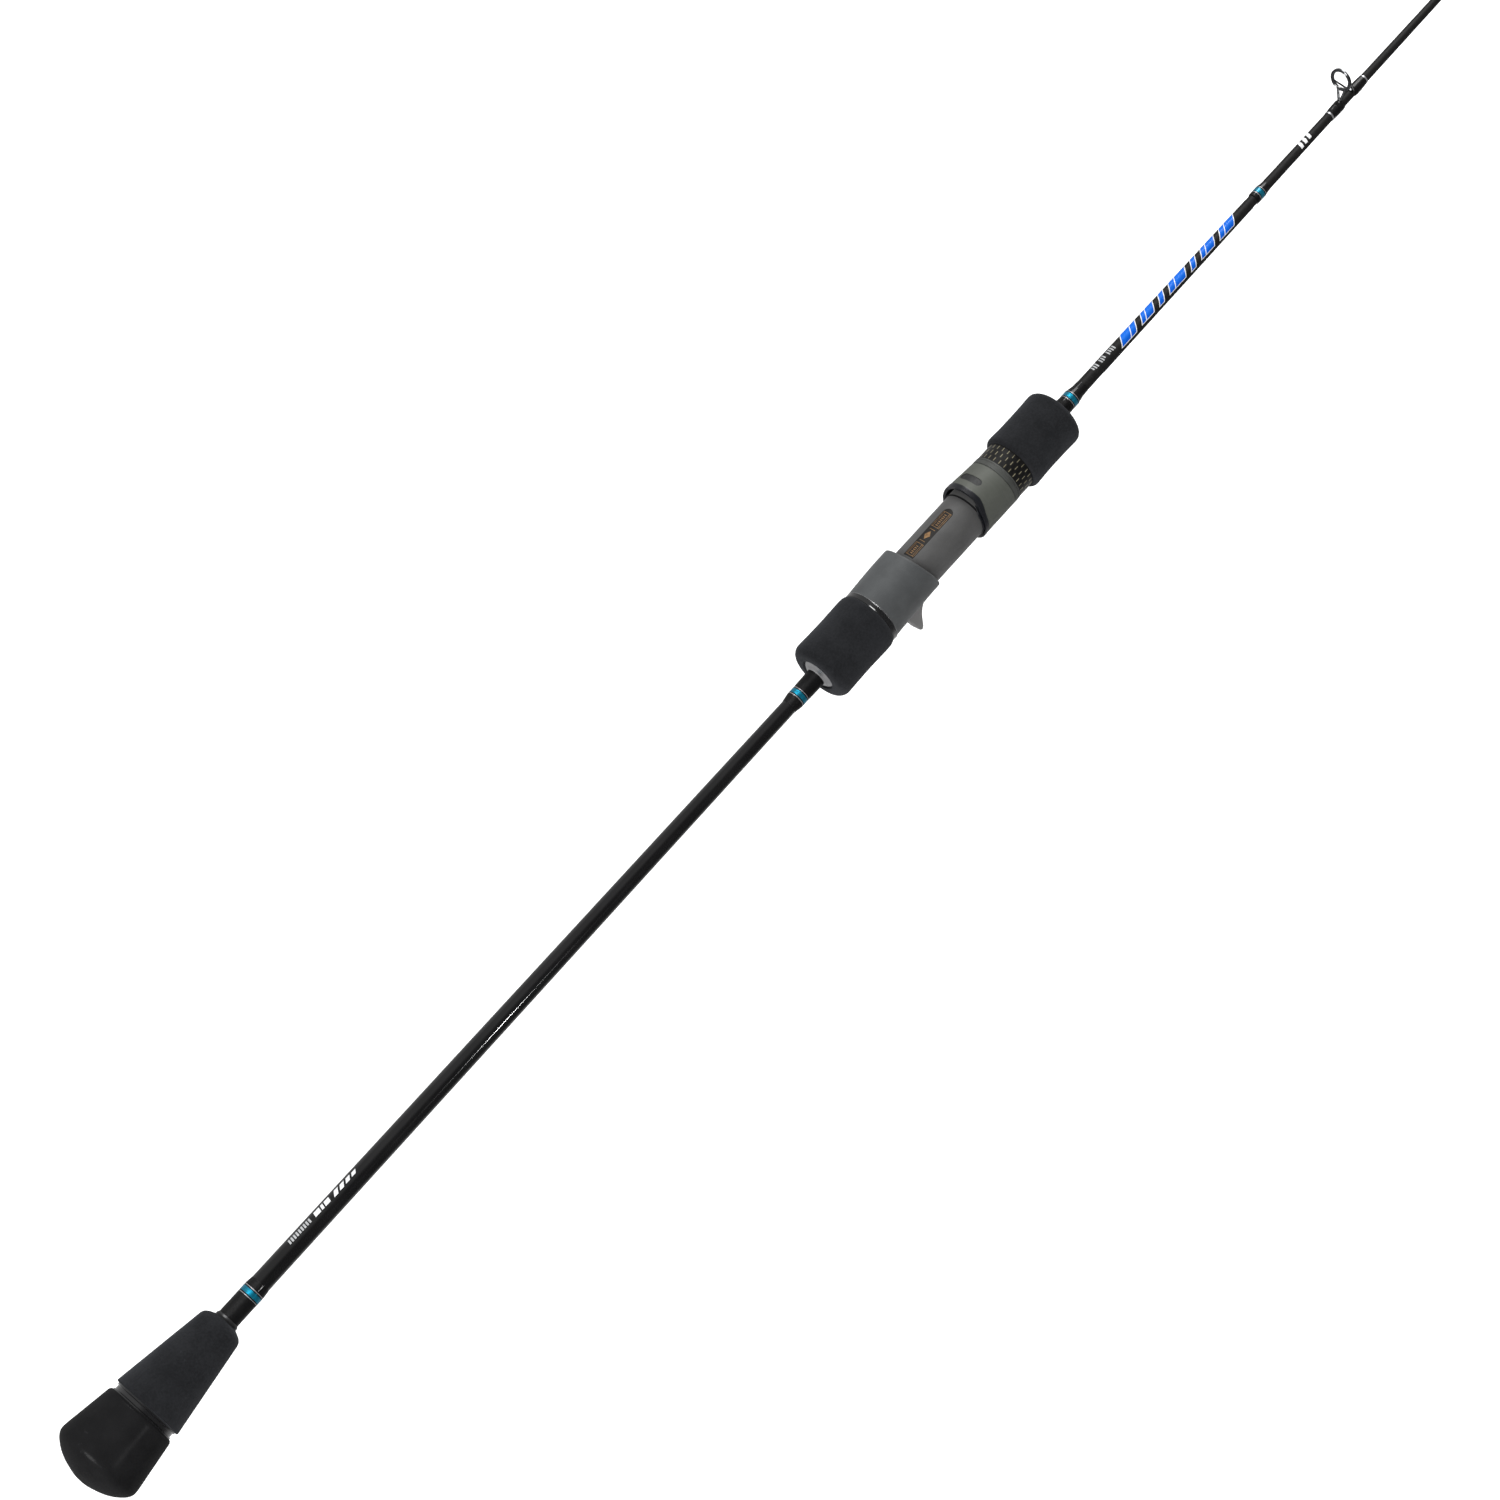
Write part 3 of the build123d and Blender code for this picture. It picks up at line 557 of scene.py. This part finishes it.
lathed_foam("rear_grip_foam", "rear_grip", LOOKS["grip_foam"], [
    ([(506.6, 9.35), (506.6, 12.4)], FINE),
    ([(506.6, 12.4), (506.75, 13.4), (507.2, 14.5), (508, 15.5), (509.2, 16.3), (510.6, 16.75),
      (513, 16.78), (520, 16.6), (527, 16.5), (534, 16.6), (540.5, 16.7), (543.2, 16.58), (544.7, 16.2),
      (545.4, 15.7)], FINE),
    ([(545.4, 15.7), (545.4, 4.1), (509.7, 4.1), (509.7, 9.35)], COARSE),
], grain=0.02)
lathed_foam("fore_grip_foam", "fore_grip", LOOKS["grip_foam"], [
    ([(656.3, 12.05), (656.3, 14.3)], COARSE),
    ([(656.3, 14.3), (656.45, 15.0), (656.9, 15.75), (657.7, 16.25), (658.8, 16.42), (661, 16.35),
      (667, 16.1), (675, 16.05), (682, 16.15), (687, 16.3), (689.8, 16.3), (691.1, 15.8), (692, 15.0),
      (692.65, 13.8), (693, 12.6)], FINE),
    ([(693, 12.6), (693, 12.05)], COARSE),
], grain=0.02)

RING_SIDES = 160


def pin_ring(name, x_start, x_end, r_in, r_out, look, soft, smooth=True):
    """A thin turned ring on the handle, with its outer edges taken off by soft."""
    section = [(x_start, r_in), (x_start, r_out - soft), (x_start + soft, r_out), (x_end - soft, r_out),
               (x_end, r_out - soft), (x_end, r_in)]
    turns = [2 * math.pi * k / RING_SIDES for k in range(RING_SIDES)]
    mesh = bmesh.new()
    skin(mesh, [[mesh.verts.new(on_rod(x, r, turn)) for x, r in section] for turn in turns], around=True)
    bmesh.ops.recalc_face_normals(mesh, faces=mesh.faces)
    return new_piece(name, mesh, look, "handle", smooth)


# The metal line at the seat's rear edge, and the dark line round the barrel in the hood's mouth
pin_ring("seat_pin_line", 548.1, 548.45, 15.2, 15.85, LOOKS["check_metal"], soft=0.09)
pin_ring("barrel_ring_line", 620.4, 621.4, 12.1, 12.345, LOOKS["butt_rubber"], soft=0.02,
         smooth=False)

# The liner's inner lip runs up each side of the barrel and dies into the rim bead. Points are (z, x) in mm
BEAD_EDGE = [(-4, 619.4), (5.6, 620.7), (12.1, 622.6)]
LIP_EDGE = [(-4, 618.6), (5.6, 619.6), (12.1, 620.8)]
LIP_IN = 12.39  # just clear of the barrel
LIP_OUT = 13.09
LIP_FROM = 80  # degrees from the top, where the lip stands free
LIP_TO = 44  # where it has gone under the bead
LIP_STEPS = 48
LIP_FREE = 0.3  # share of its run before it starts to narrow
LIP_DROP = 0.55  # how much lower it is at its end
LIP_PROUD = 0.015  # how far it stands in front of the liner's own ring
LIP_TUCK = 0.1  # how far under the bead its front edge ends
LIP_UNDER = 0.5  # how far its back edge reaches under the bead
LIP_SOFT = 0.1  # bevel of its front edge, before that grows with the lip's height


def lip_section(k):
    """Angle of the lip after k of its steps, and its outline there, as (x, radius)."""
    turn = math.radians(LIP_FROM + (LIP_TO - LIP_FROM) * k / LIP_STEPS)
    z = LIP_OUT * math.cos(turn)
    share = max(0.0, (k / LIP_STEPS - LIP_FREE) / (1 - LIP_FREE))
    share = share * share * (3 - 2 * share)
    bead = value_at(BEAD_EDGE, z)
    start = value_at(LIP_EDGE, z) * (1 - share) + (bead + LIP_TUCK) * share - LIP_PROUD
    end = bead + LIP_UNDER
    top = LIP_OUT - LIP_DROP * share**2
    soft = LIP_SOFT * (1 + top - LIP_IN)
    outline = [(start, LIP_IN), (start, top - soft), (start + soft * 0.3, top - soft * 0.3),
               (start + soft, top), (end, top), (end, LIP_IN)]
    return turn, outline


def liner_lips():
    """Both lips in one piece, closed at their ends."""
    mesh = bmesh.new()
    for hand in (-1, 1):
        loops = []
        for k in range(LIP_STEPS + 1):
            turn, outline = lip_section(k)
            loops.append([mesh.verts.new(on_rod(x, r, hand * turn)) for x, r in outline])
        skin(mesh, loops)
        mesh.faces.new(loops[0])
        mesh.faces.new(loops[-1])
    bmesh.ops.recalc_face_normals(mesh, faces=mesh.faces)
    return new_piece("liner_lips", mesh, LOOKS["liner_gloss"], "hood")


liner_lips()

# ---------------------------------------------------------------- printed marks

# Marks lie on a surface of revolution: polygons of (x in mm, degrees round from the top)
BUTT_LINE = [(8, 5.26), (116, 4.975), (480, 4.025), (718, 3.375), (760, 3.2), (855.8, 2.8)]
TIP_LINE = [(856, 2.79), (913, 2.61), (957, 2.435), (1000, 2.3)]
LABEL_R = 12.275
FILM = 0.13  # how far the front graphic's base film stands off the blank, mm
PRINT = 0.02  # thickness of a printed mark, mm
CUT = 4  # degrees between the cuts that let a mark bend round


def on_butt(x):
    return value_at(BUTT_LINE, x)


def on_film(x):
    return value_at(BUTT_LINE, x) + FILM


def on_tip(x):
    return value_at(TIP_LINE, x)


def on_label(x):
    return LABEL_R


def printed(name, shapes, radius, look, body, lift=0.01):
    """Thin closed films in the shapes of polygons, bent round the rod."""
    film = bmesh.new()
    for shape in shapes:
        film.faces.new([film.verts.new((x, a, 0)) for x, a in shape])
    low = math.floor(min(a for shape in shapes for _, a in shape))
    high = math.ceil(max(a for shape in shapes for _, a in shape))
    for cut in range(low, high, CUT):
        bmesh.ops.bisect_plane(
            film, geom=[*film.verts, *film.edges, *film.faces], plane_co=(0, cut, 0), plane_no=(0, 1, 0)
        )
    bmesh.ops.triangulate(film, faces=film.faces)
    # The tops and sides are made by hand, because the extrude operator's order differs from run to run
    faces = list(film.faces)
    rim = [edge for edge in film.edges if edge.is_boundary]
    tops = {v: film.verts.new((v.co.x, v.co.y, 1)) for v in list(film.verts)}
    for face in faces:
        film.faces.new([tops[v] for v in face.verts])
    for a, b in (edge.verts for edge in rim):
        film.faces.new((a, b, tops[b], tops[a]))
    for v in film.verts:
        x, a, top = v.co
        v.co = on_rod(x, radius(x) + lift + (PRINT if top > 0.5 else 0), -math.radians(a))
    bmesh.ops.recalc_face_normals(film, faces=film.faces)
    return new_piece(name, film, look, body, smooth=False)


def block(x, width, low, high, slant=0.0):
    """Parallelogram from angle low to high, its x moved by slant mm for each degree."""
    return [(x + slant * low, low), (x + width + slant * low, low), (x + width + slant * high, high),
            (x + slant * high, high)]


# Handle tube: a row of ticks, three bars, and four slanted blocks that get shorter
ticks = [block(137.0 + 1.62 * i, 1.0, -13, 17, -0.01) for i in range(9)]
printed("handle_ticks", ticks, on_butt, PRINTS["pale"], "handle")
bars = [block(x, width, -14, 18, -0.02) for x, width in ((153.8, 3.6), (158.2, 1.5), (160.5, 3.2))]
bars += [block(166.8 + 3.9 * i, 2.6, -15 + 2 * i, 20 - 2 * i, -0.06) for i in range(4)]
printed("handle_bars", bars, on_butt, PRINTS["white"], "handle")

BLOCKS_FROM = 745.9
BLOCK_WIDTHS = [12.5, 10.5, 4.5, 14, 4.5, 11.5, 12.5]
BLOCK_GAP = 4.0
BLOCK_SLANT = -0.047
BLOCK_EDGE = 0.6
SPLIT_OVER = 9  # a block wider than this has a white line across it


def front_graphic():
    """Slanted white blocks, and the blue fields inside their edges."""
    white, blue = [], []
    x = BLOCKS_FROM
    for i, width in enumerate(BLOCK_WIDTHS):
        reach = 76 if i % 2 == 0 else 70
        white.append(block(x, width, -reach, reach, BLOCK_SLANT))
        fields = [(x + BLOCK_EDGE, width - 2 * BLOCK_EDGE)]
        if width > SPLIT_OVER:
            split = width * (0.62 if i % 4 == 0 else 0.36)
            fields = [
                (x + BLOCK_EDGE, split - 1.5 * BLOCK_EDGE),
                (x + split + BLOCK_EDGE / 2, width - split - 1.5 * BLOCK_EDGE),
            ]
        blue += [block(start, wide, 6 - reach, reach - 6, BLOCK_SLANT) for start, wide in fields]
        x += width + BLOCK_GAP
    return white, blue


# Front blank: the blue graphic, small ticks before it, and three bars on the tip blank
white_blocks, blue_fields = front_graphic()
printed("decal_edges", white_blocks, on_film, PRINTS["white"], "handle")
printed("decal_blocks", blue_fields, on_film, PRINTS["blue"], "handle", lift=0.035)
ticks = [block(723.0 + 1.5 * i, 0.75, -20, 30 if i % 3 else 22) for i in range(12) if i not in (3, 7)]
printed("decal_ticks", ticks, on_film, PRINTS["pale"], "handle")
bars = [block(895.6 + 3.5 * i, 2.0, -32, 60 - 6 * i, -0.012) for i in range(3)]
printed("tip_marks", bars, on_tip, PRINTS["white"], "tip_section")

LABEL_TURN = 6.5  # how far the label is turned from the top, degrees
LABEL_FRAMES = ((580.8, 589.0), (600.4, 610.6))
LABEL_TICK_PITCH = 1.15


def seat_label():
    """Two frames of fine lines with ticks inside, and between them a plain lozenge and two bars."""
    lines = []
    for start, end in LABEL_FRAMES:
        lines += [block(start, end - start, at - 0.5, at + 0.5) for at in (-11.0, -7.4, 7.4, 11.0)]
        lines += [block(edge, 0.25, -11.5, 11.5) for edge in (start, end - 0.25)]
        count = int((end - start - 1.6) / LABEL_TICK_PITCH)
        lines += [block(start + 1.2 + LABEL_TICK_PITCH * i, 0.5, -3.2, 3.2) for i in range(count)]
    lines.append([(591.9, 0), (594.7, -7.5), (597.5, 0), (594.7, 7.5)])
    lines += [block(edge, 0.3, -8, 8) for edge in (590.6, 598.5)]
    return [[(x, a + LABEL_TURN) for x, a in line] for line in lines]


printed("label_lines", seat_label(), on_label, PRINTS["copper"], "handle")

# ---------------------------------------------------------------- floor and light

FLOOR_Z = -0.55
FLOOR_HALF = 30  # half the floor's side
FLOOR_GLOW = 0.30
MIDDLE = Vector((0.55, 0, 0))  # where the large lamps aim


def floor_look():
    """Plain white with a faint unevenness, lit a little from itself so that it stays pale."""
    s = Surface("floor", rough=0.8, specular=0.2)
    s.feed("color", s.mix(s.noise(0.5, 2), (0.90, 0.90, 0.90), (0.93, 0.93, 0.93)))
    s.shader.inputs["Emission Color"].default_value = (1, 1, 1, 1)
    s.shader.inputs["Emission Strength"].default_value = FLOOR_GLOW
    return s.mat


def lay_floor():
    """A plain square, which glossy surfaces don't reflect."""
    sheet = bpy.data.meshes.new("floor")
    corners = [(x * FLOOR_HALF, y * FLOOR_HALF, FLOOR_Z) for x, y in ((-1, -1), (1, -1), (1, 1), (-1, 1))]
    sheet.from_pydata(corners, [], [(0, 1, 2, 3)])
    sheet.materials.append(floor_look())
    floor = bpy.data.objects.new("floor", sheet)
    scene.collection.objects.link(floor)
    floor.visible_glossy = False  # gloss reflects the dim room in front instead of the white floor


def softbox(name, at, size, power, aim=MIDDLE):
    """A rectangular lamp of that size in metres and power in watts."""
    lamp = bpy.data.lights.new(name, "AREA")
    lamp.shape = "RECTANGLE"
    lamp.size, lamp.size_y = size
    lamp.energy = power
    box = bpy.data.objects.new(name, lamp)
    scene.collection.objects.link(box)
    box.location = at
    box.rotation_mode = "QUATERNION"
    box.rotation_quaternion = (aim - Vector(at)).to_track_quat("-Z", "Y")


def studio_world():
    """White to the camera. As light, a soft room that is darker towards the front."""
    world = bpy.data.worlds.new("studio")
    scene.world = world
    world.use_nodes = True
    tree = world.node_tree
    sky = tree.nodes["Background"]
    split = tree.nodes.new("ShaderNodeSeparateXYZ")
    tree.links.new(tree.nodes.new("ShaderNodeTexCoord").outputs["Generated"], split.inputs[0])
    room = tree.nodes.new("ShaderNodeMapRange")
    room.interpolation_type = "SMOOTHSTEP"
    for key, value in {"From Min": -0.75, "From Max": -0.2, "To Min": 0.10, "To Max": 0.42}.items():
        room.inputs[key].default_value = value
    tree.links.new(split.outputs["Y"], room.inputs["Value"])
    level = tree.nodes.new("ShaderNodeMix")
    factor, as_light, as_seen = (level.inputs[i] for i in (0, 2, 3))
    tree.links.new(tree.nodes.new("ShaderNodeLightPath").outputs["Is Camera Ray"], factor)
    tree.links.new(room.outputs[0], as_light)
    as_seen.default_value = 1.0
    tree.links.new(level.outputs[0], sky.inputs["Strength"])
    sky.inputs["Color"].default_value = (1, 1, 1, 1)


lay_floor()
softbox("key", (-2.2, -1.0, 3.0), (2.0, 2.0), 150)
softbox("fill", (3.4, 0.6, 2.6), (2.0, 2.0), 120)
softbox("glint", (0.53, -1.45, 0.31), (0.03, 0.08), 1.2, aim=Vector((0.28, 0, 0)))
studio_world()
